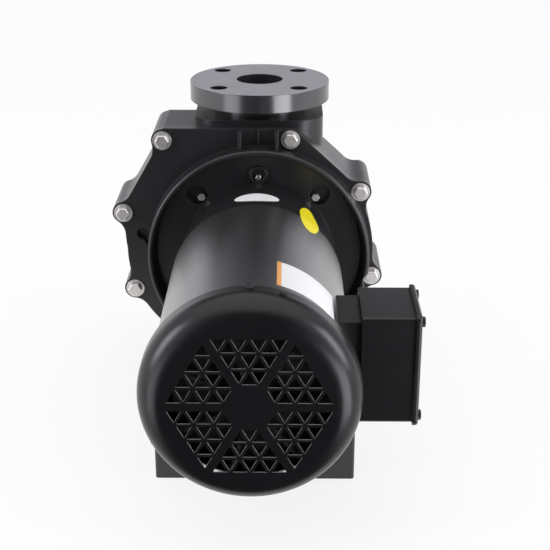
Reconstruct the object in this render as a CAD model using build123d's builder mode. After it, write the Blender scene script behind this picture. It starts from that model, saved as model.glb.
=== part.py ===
from build123d import *
from math import cos, radians, sin, sqrt
import os

# Close-coupled pond pump: a lobed volute casing behind a ring bracket, driven by a
# fan-cooled foot motor. All sizes in millimetres. +Z is up, +Y runs along the shaft from
# the fan to the suction mouth, and the origin lies on the floor below the middle of the
# motor's four foot holes.

os.makedirs("parts", exist_ok=True)

# Motor frame sizes
shaft_height = 88.9         # underside of the motor foot to the shaft centre
foot_hole_x = 139.7         # hole spacing across the foot
foot_hole_y = 101.6         # hole spacing along the shaft
face_to_foot_hole = 69.85   # mounting face to the nearer foot holes
face_bolt_circle = 149.2
face_bolt_dia = 9.5
face_bolt_flats = 14.3
face_bolt_head = 6.0
face_bolt_reach = 14.0      # thread inside the motor's end bell
face_bolt_recess = 5.0      # seat below the bracket's split face
rabbet_dia = 114.3
rabbet_depth = 4.0
shaft_extension = 108.7     # mounting face to the end of the shaft
shaft_dia = 22.21

# Motor body
shell_dia = 174.0
shell_wall = 2.8
shell_length = 223.0
drive_bell_dia = 166.0
drive_bell_length = 67.0
bell_wall = 7.0
bell_web = 4.0              # thickness of the webs that carry the bearing housings
bearing_housing_wall = 8.0
spigot_length = 9.0
stator_length = 92.0
stator_bore_dia = 92.0
air_gap = 0.5
winding_reach = 24.0
winding_dia = 142.0
core_shaft_dia = 32.0
through_bolt_dia = 6.0
through_bolt_flats = 10.0
through_bolt_head = 3.5
through_bolt_circle = 160.0

# Ball bearings
drive_bearing_bore = 25.0
drive_bearing_dia = 52.0
drive_bearing_width = 15.0
fan_bearing_bore = 17.0
fan_bearing_dia = 40.0
fan_bearing_width = 12.0
race_wall = 4.0             # thickness of each race at its edge
ball_count = 8
ball_clearance = 0.3

# Fan and its cover
cover_dia = 189.0
cover_wall = 1.6
cover_depth = 33.5
cover_edge_radius = 22.0
cover_gap = 3.5             # open ring between the cover's rim and the shell's end
cover_screw_dia = 5.0
cover_screw_flats = 8.0
cover_screw_length = 9.0
cover_screw_inset = 4.5     # cover rim to the screws
cover_ear_width = 16.0
plug_dia = 6.4              # rubber plug beside the top screw
plug_rise = 2.0
plug_angle = 73.0
plug_inset = 8.0
fan_dia = 150.0
fan_hub_dia = 40.0
fan_seat_dia = 16.0
fan_depth = 20.0
fan_plate = 3.0
fan_blades = 7
blade_thickness = 3.0
grille_sectors = 6
grille_rows = 4             # triangle rows from the tip of a sector outwards
grille_side = 62.0          # side of one sector between its outermost hole tips
grille_bar = 2.4
grille_gap = 7.5            # bare spoke between two sectors

# Motor foot and the riser below it
foot_sheet = 3.2
foot_width = 171.0
foot_length = 126.0
foot_inner_x = 46.0
foot_gusset_x = 80.0
foot_bolt_dia = 8.0
foot_bolt_flats = 12.7
foot_bolt_head = 5.3
foot_bolt_length = 30.0
riser_height = 65.0
riser_width = 193.0
riser_length = 129.0
arch_width = 104.0
arch_height = 38.0
arch_corner = 14.0
anchor_spacing_x = 176.0
anchor_spacing_y = 68.0
anchor_hole_dia = 8.7
lug_thickness = 9.0
lug_pocket_depth = 17.0
lug_pocket_width = 30.0
lug_pocket_height = 34.0

# Pump bracket: a lobed plate with a tall ring on the motor side
ring_dia = 239.0
ring_wall = 6.0
ring_height = 20.6
plate_thickness = 12.0
face_boss_height = 30.0     # plate front to the motor's mounting face
face_boss_dia = 160.0
cover_bolt_circle = 173.0
cover_bolt_dia = 5.0
cover_bolt_flats = 8.0
cover_bolt_head = 3.5
cover_pocket_dia = 22.0
cover_pocket_depth = 6.0
cover_pocket_offset = 6.0   # pocket centre, outward of its bolt
vent_boss_dia = 19.0
vent_boss_wall = 2.5
vent_boss_height = 3.0
vent_radius = 88.0
vent_screw_dia = 4.0
vent_screw_flats = 5.5
vent_screw_drop = 3.0       # boss centre down to the screw
dimple_dia = 14.0           # cored dimple beside the ring, with a run-out down to it
dimple_depth = 6.0
dimple_place = (-125, 21)
neck_rib_spacing = 39.0
neck_rib = 3.0
neck_rib_height = 20.0
neck_rib_reach = 14.0

# Casing outline seen along the shaft, from the shaft centre. Each lobe's bolt is given by
# its angle and its distance as a share of the body radius.
body_radius = 127.0
block_left = 112.0
block_right = 34.0
block_top = 138.0
block_corner = 12.0
lobe_radius = 11.8
lobe_blend = 18.0           # hollow radius between a lobe and the outline
lobes = [(129, 1.268), (75, 1.031), (32.3, 1.016), (-12.4, 0.992),
         (-60, 1.0), (-108, 1.031), (-162.5, 1.126), (163, 1.201)]
casing_depth = 68.0
casing_wall = 9.0
bowl_depth = 46.0
bowl_shoulder = 22.0         # how far the bowl has drawn in at seven tenths of its depth
bowl_flare = 16.0            # the bowl's end beyond the suction nozzle
bowl_wall = 25.0
chamber_lap = 20.0           # how far the bowl's bore runs back into the chamber
bowl_dia = 226.0
neck_width = 138.0
neck_length = 130.0
neck_corner = 28.0
neck_root = 30.0            # shaft centre to the level where the neck starts inside the body
neck_top = 143.0
neck_bore_root = 84.0       # shaft centre to the inner end of the discharge bore
throat_depth = 30.0         # discharge centre to the step between throat and suction bore
casing_foot_width = 124.0
casing_foot_length = 46.0
casing_foot_height = 54.0
casing_foot_set_back = 12.0

# Flanges of nominal two inch pipe
pipe_bore_dia = 50.8
nozzle_wall = 8.0
flange_dia = 152.4
flange_thickness = 20.0
flange_hole_dia = 19.05
flange_hole_inset = 15.875  # rim to the hole centres
flange_hub_rise = 8.0       # hub behind the suction flange
flange_recess = 6.0         # how far the discharge flange's spigot sits into the neck
discharge_rise = 173.0      # shaft centre to the discharge face
suction_reach = 110.0       # discharge centre to the suction face

# Wet end pieces
impeller_dia = 128.0
impeller_width = 30.0
impeller_vanes = 6
vane_thickness = 4.0
shroud = 3.5
eye_dia = 46.0
eye_wall = 6.0
eye_rise = 6.0              # front shroud to the face of the eye ring
hub_dia = 36.0
wear_clearance = 0.4
impeller_screw_dia = 9.5
impeller_screw_length = 24.0
impeller_screw_flats = 14.3
impeller_screw_head = 6.0
seal_plate_dia = 204.0
seal_plate_thickness = 12.0
seal_hub_length = 20.0      # split plane to the face of the stationary seal ring
seal_hub_dia = 60.0
seal_seat_dia = 44.0
seal_seat_length = 8.0
seal_gap = 0.1
seal_head_dia = 38.0
seal_head_length = 9.0
spring_wire = 1.8
spring_turns = 2
o_ring_section = 5.0
slinger_dia = 48.0

# Fasteners
casing_bolt_dia = 8.0
casing_bolt_flats = 13.0
casing_bolt_head = 5.5
washer_dia = 20.0
washer_thickness = 1.6
insert_dia = 12.0
insert_length = 18.0
bolt_clearance = 0.4        # radial gap round a bolt in a through hole

# Conduit box on the motor's right side
box_length = 71.0
box_height = 101.0
box_wall = 1.6
box_corner = 3.0
box_reach = 140.5           # shaft centre to the box's open face
box_middle_y = -103.9
box_neck_length = 60.0
box_neck_height = 88.0
box_back_x = 95.0           # shaft centre to the back of the box
lid_lip = 3.0
lid_thickness = 5.0
lid_gasket_thickness = 1.0
lid_screw_dia = 4.8
lid_screw_flats = 8.0
lid_screw_length = 20.0
lid_screw_inset = 5.5
lid_post_dia = 9.0
small_head = 3.0            # head height of the small hexagon screws
conduit_hole_dia = 22.2

# Places worked out from the sizes above
axis_z = riser_height + shaft_height
shell_bore_dia = shell_dia - 2 * shell_wall
face_y = foot_hole_y / 2 + face_to_foot_hole
shell_front_y = face_y - drive_bell_length
shell_back_y = shell_front_y - shell_length
stator_y = (shell_front_y + shell_back_y) / 2
cover_rim_y = shell_back_y - cover_gap
cover_face_y = cover_rim_y - cover_depth
plate_front_y = face_y + face_boss_height
split_y = plate_front_y + plate_thickness
discharge_y = split_y + casing_depth
suction_y = discharge_y + suction_reach
shaft_end_y = face_y + shaft_extension
impeller_back_y = shaft_end_y - impeller_width
seal_face_y = split_y + seal_hub_length
drive_bearing_y = face_y - drive_bearing_width - 4
fan_bearing_y = shell_back_y - 3
nozzle_dia = pipe_bore_dia + 2 * nozzle_wall
flange_bolt_circle = flange_dia - 2 * flange_hole_inset
flange_hub_dia = flange_bolt_circle - flange_hole_dia - 2 * bolt_clearance
throat_y = discharge_y + throat_depth
discharge_z = axis_z + discharge_rise
housing_dia = drive_bearing_dia + 2 * bearing_housing_wall
fan_housing_dia = fan_bearing_dia + 2 * bearing_housing_wall
motor_axis = Axis((0, 0, axis_z), (0, 1, 0))
axial = Plane((0, 0, axis_z), x_dir=(0, 1, 0), z_dir=(1, 0, 0))


def station(y):
    """Plane across the shaft at y, seen from the fan end: local x is +X and local y is +Z."""
    return Plane((0, y, axis_z), x_dir=(1, 0, 0), z_dir=(0, -1, 0))


def polar(angle, radius):
    """Point at an angle in degrees and a radius, in a plane across the shaft."""
    return (radius * cos(radians(angle)), radius * sin(radians(angle)))


def rim(angle, share):
    """Point of the casing's outline, its radius given as a share of the body radius."""
    return polar(angle, share * body_radius)


def turned(*points):
    """Solid turned about the shaft from the (y, radius) corners of its half section."""
    with BuildPart() as body:
        with BuildSketch(axial):
            with BuildLine():
                Polyline(*points, close=True)
            make_face()
        revolve(axis=motor_axis)
    return body.part


def tube(y0, y1, outer_dia, inner_dia):
    """Plain ring about the shaft between two stations."""
    return turned((y0, inner_dia / 2), (y0, outer_dia / 2), (y1, outer_dia / 2), (y1, inner_dia / 2))


def hex_bolt(dia, length, flats, head):
    """Hexagon bolt along -Z, with the underside of its head at the origin."""
    with BuildPart() as bolt:
        with BuildSketch():
            RegularPolygon(flats / 2, 6, major_radius=False)
        extrude(amount=head)
        chamfer(bolt.faces().sort_by(Axis.Z)[-1].edges(), head * 0.12)
        with BuildSketch():
            Circle(dia / 2)
        extrude(amount=-length)
    return bolt.part


def facing_fan(points, y):
    """Locations across the shaft at y whose +Z points to the fan."""
    return [station(y).location * Location((x, z, 0)) for x, z in points]


def facing_suction(points, y):
    """Locations across the shaft at y whose +Z points to the suction side."""
    return [loc * Location((0, 0, 0), (180, 0, 0)) for loc in facing_fan(points, y)]


def four_at_45(radius):
    """Four points on a circle across the shaft, midway between up, down and the sides."""
    return [polar(45 + 90 * i, radius) for i in range(4)]


lobe_points = [rim(angle, share) for angle, share in lobes]
cover_bolt_points = four_at_45(cover_bolt_circle / 2)
cover_pocket_points = four_at_45(cover_bolt_circle / 2 + cover_pocket_offset)
face_bolt_points = four_at_45(face_bolt_circle / 2)
through_bolt_points = four_at_45(through_bolt_circle / 2)
flange_bolt_points = four_at_45(flange_bolt_circle / 2)
foot_points = [(x * foot_hole_x / 2, y * foot_hole_y / 2) for x in (-1, 1) for y in (-1, 1)]

# Outline of the casing: round on the right and below, growing to the left like a volute,
# and square at the top left
with BuildSketch() as body_outline:
    with BuildLine():
        right = ThreePointArc(rim(43.7, 1), rim(0, 0.976), rim(-44, 0.986))
        below = ThreePointArc(right @ 1, rim(-88, 1), rim(-130.7, 1.039))
        left = ThreePointArc(below @ 1, rim(-159, 1.104), rim(178.4, 1.126))
        growing = ThreePointArc(left @ 1, rim(166, 1.169), rim(154.8, 1.201))
        Polyline(growing @ 1, rim(135.5, 1.236), (-block_left, block_top - block_corner),
                 (-block_left + block_corner, block_top), (block_right, block_top), rim(69.4, 1.076), right @ 0)
    make_face()

# The same outline with a lobe round each casing bolt. Growing the outline and shrinking it
# again by the same amount leaves a hollow curve of that radius beside each lobe.
with BuildSketch() as outline:
    add(body_outline.sketch)
    with Locations(*lobe_points):
        Circle(lobe_radius)
    offset(amount=lobe_blend, mode=Mode.REPLACE)
    offset(amount=-lobe_blend, mode=Mode.REPLACE)

# Volute casing: lobed body, domed bowl, suction nozzle, square neck and floor pad
with BuildPart() as volute_casing:
    with BuildSketch(station(split_y)):
        add(outline.sketch)
    extrude(amount=-casing_depth)
    with BuildSketch(axial):
        with BuildLine():
            Polyline((discharge_y, nozzle_dia / 2), (discharge_y - 6, nozzle_dia / 2),
                     (discharge_y - 6, bowl_dia / 2), (discharge_y, bowl_dia / 2))
            ThreePointArc((discharge_y, bowl_dia / 2), (discharge_y + bowl_depth * 0.7, bowl_dia / 2 - bowl_shoulder),
                          (discharge_y + bowl_depth, nozzle_dia / 2 + bowl_flare))
            bowl_end = discharge_y + bowl_depth
            nozzle_end = suction_y - flange_thickness - flange_hub_rise
            Polyline((bowl_end, nozzle_dia / 2 + bowl_flare), (bowl_end + bowl_flare / 2, nozzle_dia / 2), (nozzle_end, nozzle_dia / 2),
                     (nozzle_end, 0), (discharge_y, 0), (discharge_y, nozzle_dia / 2))
        make_face()
    revolve(axis=motor_axis)
    with BuildSketch(Plane((0, discharge_y, axis_z + neck_root))):
        RectangleRounded(neck_width, neck_length, neck_corner)
    extrude(amount=neck_top - neck_root)
    with BuildSketch(Plane((0, split_y + casing_foot_set_back + casing_foot_length / 2, 0))):
        RectangleRounded(casing_foot_width, casing_foot_length, 6)
    extrude(amount=casing_foot_height)
    # Chamber for the seal plate and the impeller, and the throat that feeds the impeller
    with BuildSketch(station(split_y)):
        offset(body_outline.sketch, -casing_wall - 8)
    extrude(amount=-casing_depth + casing_wall, mode=Mode.SUBTRACT)
    add(tube(discharge_y - chamber_lap, throat_y - 4, bowl_dia - 2 * bowl_wall, 0), mode=Mode.SUBTRACT)
    add(tube(shaft_end_y + wear_clearance, throat_y, nozzle_dia, 0))
    add(tube(shaft_end_y - 1, throat_y, eye_dia, 0), mode=Mode.SUBTRACT)
    add(tube(throat_y, suction_y, pipe_bore_dia, 0), mode=Mode.SUBTRACT)
    with BuildSketch(Plane((0, discharge_y, axis_z + neck_bore_root))):
        Circle(pipe_bore_dia / 2)
    extrude(amount=discharge_rise, mode=Mode.SUBTRACT)
    # Sockets for the two flanges' spigots
    with BuildSketch(Plane((0, discharge_y, axis_z + neck_top - flange_recess))):
        Circle(nozzle_dia / 2)
    extrude(amount=flange_recess, mode=Mode.SUBTRACT)
    # Blind holes for the threaded inserts
    with Locations(*facing_fan(lobe_points, split_y)):
        Hole(insert_dia / 2, insert_length)

# Discharge flange: drilled ring with a hub whose spigot sits in the neck
with BuildPart() as discharge_flange:
    with BuildSketch(Plane((0, discharge_y, discharge_z))):
        Circle(flange_dia / 2)
    extrude(amount=-flange_thickness)
    with BuildSketch(Plane((0, discharge_y, axis_z + neck_top))):
        Circle(flange_hub_dia / 2)
    extrude(amount=discharge_rise - neck_top - flange_thickness)
    with BuildSketch(Plane((0, discharge_y, axis_z + neck_top - flange_recess))):
        Circle(nozzle_dia / 2)
    extrude(amount=flange_recess)
    with Locations((0, discharge_y, discharge_z)):
        Hole(pipe_bore_dia / 2)
        with PolarLocations(flange_bolt_circle / 2, 4, start_angle=45):
            Hole(flange_hole_dia / 2)
    chamfer(discharge_flange.faces().sort_by(Axis.Z)[-1].outer_wire().edges(), 0.8)

# Suction flange: the same ring, slid over the end of the suction nozzle
with BuildPart() as suction_flange:
    add(tube(suction_y - flange_thickness, suction_y, flange_dia, pipe_bore_dia))
    add(tube(suction_y - flange_thickness - flange_hub_rise, suction_y - flange_thickness, flange_hub_dia,
             pipe_bore_dia))
    with Locations(*facing_suction(flange_bolt_points, suction_y)):
        Hole(flange_hole_dia / 2, flange_thickness + flange_hub_rise)

# Ring bracket: lobed plate, tall ring with a rounded rim, pockets for the seal plate's
# bolts and the boss that meets the motor's face
with BuildPart() as motor_bracket:
    with BuildSketch(station(plate_front_y)):
        add(outline.sketch)
    extrude(amount=-plate_thickness)
    with BuildSketch(axial):
        with BuildLine():
            edge_y = plate_front_y - ring_height
            round_y = edge_y + ring_wall / 2
            Polyline((plate_front_y, ring_dia / 2), (round_y, ring_dia / 2))
            ThreePointArc((round_y, ring_dia / 2), (edge_y, (ring_dia - ring_wall) / 2),
                          (round_y, ring_dia / 2 - ring_wall))
            Polyline((round_y, ring_dia / 2 - ring_wall), (plate_front_y, ring_dia / 2 - ring_wall * 1.5),
                     (plate_front_y, ring_dia / 2))
        make_face()
    revolve(axis=motor_axis)
    add(tube(face_y, plate_front_y, face_boss_dia, rabbet_dia))
    # Two gussets and a thin seam between the ring and the top of the block
    rib_z = block_top - neck_rib_height / 2
    with Locations(*facing_fan([(-neck_rib_spacing / 2, rib_z), (neck_rib_spacing / 2, rib_z)], plate_front_y)):
        Box(neck_rib, neck_rib_height, neck_rib_reach, align=(Align.CENTER, Align.CENTER, Align.MIN))
    with Locations(*facing_fan([(0, rib_z)], plate_front_y)):
        Box(neck_rib / 3, neck_rib_height, neck_rib_reach / 4, align=(Align.CENTER, Align.CENTER, Align.MIN))
    with BuildSketch(station(plate_front_y)):
        with Locations((0, vent_radius)):
            Circle(vent_boss_dia / 2)
            Circle(vent_boss_dia / 2 - vent_boss_wall, mode=Mode.SUBTRACT)
    extrude(amount=vent_boss_height)
    add(tube(face_y - 1, split_y, rabbet_dia, 0), mode=Mode.SUBTRACT)
    with Locations(*facing_fan([(0, vent_radius - vent_screw_drop)], plate_front_y)):
        Hole(vent_screw_dia / 2, plate_thickness)
    with Locations(*facing_fan(cover_pocket_points, plate_front_y)):
        Hole(cover_pocket_dia / 2, cover_pocket_depth)
    with Locations(*facing_fan(cover_bolt_points, plate_front_y)):
        CounterBoreHole(cover_bolt_dia / 2 + bolt_clearance, cover_bolt_flats * 0.7, cover_pocket_depth)
    with Locations(*facing_fan(lobe_points, plate_front_y)):
        Hole(casing_bolt_dia / 2 + bolt_clearance, plate_thickness)
    # Spot faces bite into the ring where a washer stands close to it
    with BuildSketch(station(plate_front_y)):
        with Locations(*lobe_points):
            Circle(washer_dia / 2 + bolt_clearance)
    extrude(amount=ring_height, mode=Mode.SUBTRACT)
    # Cored dimple beside the ring
    with BuildSketch(station(plate_front_y)):
        with Locations(dimple_place):
            Circle(dimple_dia / 2)
            with Locations(Location((0, 0, 0), -60)):
                Rectangle(dimple_dia, dimple_dia / 2, align=(Align.MIN, Align.CENTER))
    extrude(amount=-dimple_depth, mode=Mode.SUBTRACT)
    with Locations(*facing_fan(face_bolt_points, plate_front_y)):
        Hole(face_bolt_dia / 2 + bolt_clearance, plate_thickness)
    with Locations(*facing_suction(face_bolt_points, split_y)):
        CounterBoreHole(face_bolt_dia / 2 + bolt_clearance, face_bolt_flats * 0.7, face_bolt_recess,
                        face_boss_height + plate_thickness)

# Casing bolts with their washers and brass inserts
casing_bolt_length = washer_thickness + plate_thickness + insert_length - 1
with BuildPart() as casing_bolts:
    with Locations(*facing_fan(lobe_points, plate_front_y - washer_thickness)):
        add(hex_bolt(casing_bolt_dia, casing_bolt_length, casing_bolt_flats, casing_bolt_head))

with BuildPart() as casing_washers:
    with BuildSketch(station(plate_front_y)):
        with Locations(*lobe_points):
            Circle(washer_dia / 2)
            Circle(casing_bolt_dia / 2, mode=Mode.SUBTRACT)
    extrude(amount=washer_thickness)

with BuildPart() as thread_inserts:
    with BuildSketch(station(split_y + 0.2)):
        with Locations(*lobe_points):
            Circle(insert_dia / 2)
            Circle(casing_bolt_dia / 2, mode=Mode.SUBTRACT)
    extrude(amount=-insert_length + 0.4)

# Bolts that hold the seal plate to the bracket, seen in their pockets inside the ring
pocket_y = plate_front_y + cover_pocket_depth
with BuildPart() as seal_plate_bolts:
    with Locations(*facing_fan(cover_bolt_points, pocket_y)):
        add(hex_bolt(cover_bolt_dia, split_y + seal_plate_thickness - pocket_y - 2, cover_bolt_flats,
                     cover_bolt_head))

# Motor face bolts, put in from the wet side through the bracket's boss
face_bolt_seat_y = split_y - face_bolt_recess
with BuildPart() as face_bolts:
    with Locations(*facing_suction(face_bolt_points, face_bolt_seat_y)):
        add(hex_bolt(face_bolt_dia, face_bolt_seat_y - face_y + face_bolt_reach, face_bolt_flats, face_bolt_head))

# Small vent screw in the boss at the top of the ring
with BuildPart() as vent_screw:
    with Locations(*facing_fan([(0, vent_radius - vent_screw_drop)], plate_front_y)):
        add(hex_bolt(vent_screw_dia, plate_thickness - 2, vent_screw_flats, small_head))

# Seal plate: closes the casing and carries the stationary seal ring in its hub
with BuildPart() as seal_plate:
    groove_dia = seal_plate_dia - 2 * o_ring_section
    add(turned((split_y, rabbet_dia / 2 - 4), (split_y, seal_plate_dia / 2), (split_y + 4, seal_plate_dia / 2),
               (split_y + 4, groove_dia / 2), (split_y + 8, groove_dia / 2), (split_y + 8, seal_plate_dia / 2),
               (split_y + seal_plate_thickness, seal_plate_dia / 2),
               (split_y + seal_plate_thickness, seal_hub_dia / 2), (seal_face_y, seal_hub_dia / 2),
               (seal_face_y, seal_seat_dia / 2), (seal_face_y - seal_seat_length, seal_seat_dia / 2),
               (seal_face_y - seal_seat_length, seal_seat_dia / 2 - 5), (split_y - 8, seal_seat_dia / 2 - 5),
               (split_y - 8, seal_hub_dia / 2), (split_y, seal_hub_dia / 2)))
    with Locations(*facing_fan(cover_bolt_points, split_y)):
        Hole(cover_bolt_dia / 2, seal_plate_thickness - 2)
    with Locations(*facing_fan(face_bolt_points, split_y)):
        Hole(face_bolt_flats * 0.65, 5)

# Rubber ring in the seal plate's groove
with BuildPart() as casing_o_ring:
    add(tube(split_y + 4, split_y + 8, seal_plate_dia, groove_dia))

# Mechanical seal: ceramic ring in the plate, sprung head on the shaft
with BuildPart() as seal_seat:
    add(tube(seal_face_y - seal_seat_length, seal_face_y, seal_seat_dia, shaft_dia + 6))

with BuildPart() as seal_head:
    head_end_y = seal_face_y + seal_head_length
    add(turned((seal_face_y + seal_gap, shaft_dia / 2), (seal_face_y + seal_gap, seal_head_dia / 2 - 3),
               (seal_face_y + 4, seal_head_dia / 2 - 3), (seal_face_y + 4, seal_head_dia / 2),
               (head_end_y, seal_head_dia / 2), (head_end_y, shaft_dia / 2)))

spring_y = head_end_y + spring_wire / 2
spring_length = impeller_back_y - head_end_y - spring_wire
spring_radius = (seal_head_dia - spring_wire) / 2
with BuildPart() as seal_spring:
    with BuildLine():
        coil = Helix(spring_length / spring_turns, spring_length, spring_radius, (0, spring_y, axis_z), (0, 1, 0))
    with BuildSketch(Plane(coil @ 0, z_dir=coil % 0)):
        Circle(spring_wire / 2)
    sweep()

# Impeller: two shrouds with backward curved vanes between them, and an eye ring in front
with BuildSketch() as vane:
    with BuildLine():
        ThreePointArc((hub_dia / 2 - 2, 0), polar(13, impeller_dia * 0.31),
                      polar(38, impeller_dia / 2 - vane_thickness))
    trace(line_width=vane_thickness)

with BuildPart() as impeller:
    add(tube(impeller_back_y, impeller_back_y + shroud, impeller_dia, shaft_dia))
    add(tube(impeller_back_y, shaft_end_y - 4, hub_dia, shaft_dia))
    with BuildSketch(station(impeller_back_y + shroud)):
        with PolarLocations(0, impeller_vanes):
            add(vane.sketch)
    extrude(amount=-(impeller_width - 2 * shroud - eye_rise))
    front = impeller_back_y + impeller_width - shroud - eye_rise
    add(turned((front, eye_dia / 2), (front, impeller_dia / 2), (front + shroud, impeller_dia / 2),
               (front + shroud, eye_dia / 2 + eye_wall), (shaft_end_y, eye_dia / 2 + eye_wall),
               (shaft_end_y, eye_dia / 2)))

with BuildPart() as impeller_screw:
    with Locations(*facing_suction([(0, 0)], shaft_end_y - 1)):
        add(hex_bolt(impeller_screw_dia, impeller_screw_length, impeller_screw_flats, impeller_screw_head))

with BuildPart() as impeller_washer:
    add(tube(shaft_end_y - 4, shaft_end_y - 1, hub_dia - 8, impeller_screw_dia))

# Shaft, stepped for the fan, two bearings, the rotor core and the impeller
with BuildPart() as rotor_shaft:
    fan_end = cover_face_y + cover_wall + 5
    core_0 = stator_y - stator_length / 2 - 12
    core_1 = stator_y + stator_length / 2 + 12
    screw_end_y = shaft_end_y - 1 - impeller_screw_length
    add(turned((fan_end, 0), (fan_end, fan_seat_dia / 2), (fan_bearing_y - 6, fan_seat_dia / 2),
               (fan_bearing_y - 6, fan_bearing_bore / 2), (fan_bearing_y + fan_bearing_width, fan_bearing_bore / 2),
               (fan_bearing_y + fan_bearing_width, fan_bearing_bore / 2 + 3), (core_0, fan_bearing_bore / 2 + 3),
               (core_0, core_shaft_dia / 2), (core_1, core_shaft_dia / 2), (core_1, drive_bearing_bore / 2 + 3),
               (drive_bearing_y, drive_bearing_bore / 2 + 3), (drive_bearing_y, drive_bearing_bore / 2),
               (face_y + 6, drive_bearing_bore / 2), (face_y + 6, shaft_dia / 2), (shaft_end_y - 4, shaft_dia / 2),
               (shaft_end_y - 4, impeller_screw_dia / 2), (screw_end_y, impeller_screw_dia / 2), (screw_end_y, 0)))

with BuildPart() as rotor_core:
    core_dia = stator_bore_dia - 2 * air_gap
    add(tube(stator_y - stator_length / 2, stator_y + stator_length / 2, core_dia, core_shaft_dia))
    for side in (-1, 1):
        end = stator_y + side * stator_length / 2
        add(tube(end, end + side * 9, stator_bore_dia - 14, core_shaft_dia + 14))

with BuildPart() as water_slinger:
    add(turned((face_y + 9, shaft_dia / 2), (face_y + 9, shaft_dia / 2 + 5), (face_y + 14, slinger_dia / 2),
               (face_y + 16, slinger_dia / 2), (face_y + 14, shaft_dia / 2 + 5), (face_y + 17, shaft_dia / 2)))

# Ball bearings: the outer races sit in the end bells, the inner races and the balls turn
# with the shaft
bearings = {
    "drive": (drive_bearing_y, drive_bearing_bore, drive_bearing_dia, drive_bearing_width),
    "fan": (fan_bearing_y, fan_bearing_bore, fan_bearing_dia, fan_bearing_width),
}


def groove(y, bore, dia, width):
    """Ring that the balls run in: pitch circle midway between bore and outside."""
    with BuildPart() as ring:
        with BuildSketch(axial):
            with Locations((y + width / 2, (bore + dia) / 4)):
                Circle((dia - bore) / 4 - race_wall + 2 + ball_clearance)
        revolve(axis=motor_axis)
    return ring.part


def outer_race(y, bore, dia, width):
    with BuildPart() as race:
        add(tube(y, y + width, dia, dia - 2 * race_wall))
        add(groove(y, bore, dia, width), mode=Mode.SUBTRACT)
    return race.part


def inner_race(y, bore, dia, width):
    with BuildPart() as race:
        add(tube(y, y + width, bore + 2 * race_wall, bore))
        add(groove(y, bore, dia, width), mode=Mode.SUBTRACT)
    return race.part


def balls(y, bore, dia, width):
    with BuildPart() as ring:
        with Locations(*facing_fan([polar(360 / ball_count * i, (bore + dia) / 4) for i in range(ball_count)],
                                   y + width / 2)):
            Sphere((dia - bore) / 4 - race_wall + 2)
    return ring.part


with BuildPart() as drive_bearing_outer:
    add(outer_race(*bearings["drive"]))

with BuildPart() as drive_bearing_inner:
    add(inner_race(*bearings["drive"]))

with BuildPart() as drive_bearing_balls:
    add(balls(*bearings["drive"]))

with BuildPart() as fan_bearing_outer:
    add(outer_race(*bearings["fan"]))

with BuildPart() as fan_bearing_inner:
    add(inner_race(*bearings["fan"]))

with BuildPart() as fan_bearing_balls:
    add(balls(*bearings["fan"]))

# Rolled steel shell of the motor
with BuildPart() as motor_shell:
    add(tube(shell_back_y, shell_front_y, shell_dia, shell_bore_dia))

# Stator stack pressed into the shell, with flats for the through bolts
with BuildPart() as stator_core:
    add(tube(stator_y - stator_length / 2, stator_y + stator_length / 2, shell_bore_dia, stator_bore_dia))
    with Locations(*facing_fan(through_bolt_points, stator_y + stator_length / 2)):
        Cylinder(through_bolt_dia / 2 + bolt_clearance, stator_length,
                 align=(Align.CENTER, Align.CENTER, Align.MIN), mode=Mode.SUBTRACT)

with BuildPart() as stator_windings:
    for side in (-1, 1):
        with BuildSketch(axial):
            end = stator_y + side * (stator_length + winding_reach) / 2
            with Locations((end, (winding_dia + stator_bore_dia + 8) / 4)):
                RectangleRounded(winding_reach, (winding_dia - stator_bore_dia - 8) / 2, 6)
        revolve(axis=motor_axis)

# Cast end bell at the pump end, with the bearing housing and the pilot on its face
with BuildPart() as drive_end_bell:
    inside = face_y - bell_wall - bell_web
    seat = drive_bearing_y + drive_bearing_width
    with BuildSketch(axial):
        with BuildLine():
            Polyline((shell_front_y - spigot_length, shell_bore_dia / 2 - bell_wall),
                     (shell_front_y - spigot_length, shell_bore_dia / 2), (shell_front_y, shell_bore_dia / 2),
                     (shell_front_y, drive_bell_dia / 2), (face_y, drive_bell_dia / 2), (face_y, rabbet_dia / 2),
                     (face_y + rabbet_depth, rabbet_dia / 2), (face_y + rabbet_depth, drive_bearing_bore / 2 + 1),
                     (seat, drive_bearing_bore / 2 + 1), (seat, drive_bearing_dia / 2),
                     (drive_bearing_y - 4, drive_bearing_dia / 2), (drive_bearing_y - 4, housing_dia / 2),
                     (inside, housing_dia / 2), (inside, drive_bell_dia / 2 - bell_wall),
                     (shell_front_y + bell_wall, drive_bell_dia / 2 - bell_wall), close=True)
        make_face()
    revolve(axis=motor_axis)
    with Locations(*facing_suction(face_bolt_points, face_y)):
        Hole(face_bolt_dia / 2, face_bolt_reach + 1)
    with Locations(*facing_fan(through_bolt_points, shell_front_y - spigot_length)):
        Hole(through_bolt_dia / 2, spigot_length + 12)


def on_cover(angle, inset):
    """Location on the fan cover's side at an angle and a distance from its rim, +Z outwards."""
    x, z = polar(angle, cover_dia / 2)
    return Plane((x, cover_rim_y - inset, axis_z + z), x_dir=(0, 1, 0), z_dir=(x, 0, z)).location


# Radial screws that hold the fan cover, one on top and two below
cover_screw_places = [on_cover(90 + 120 * i, cover_screw_inset) for i in range(3)]

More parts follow.
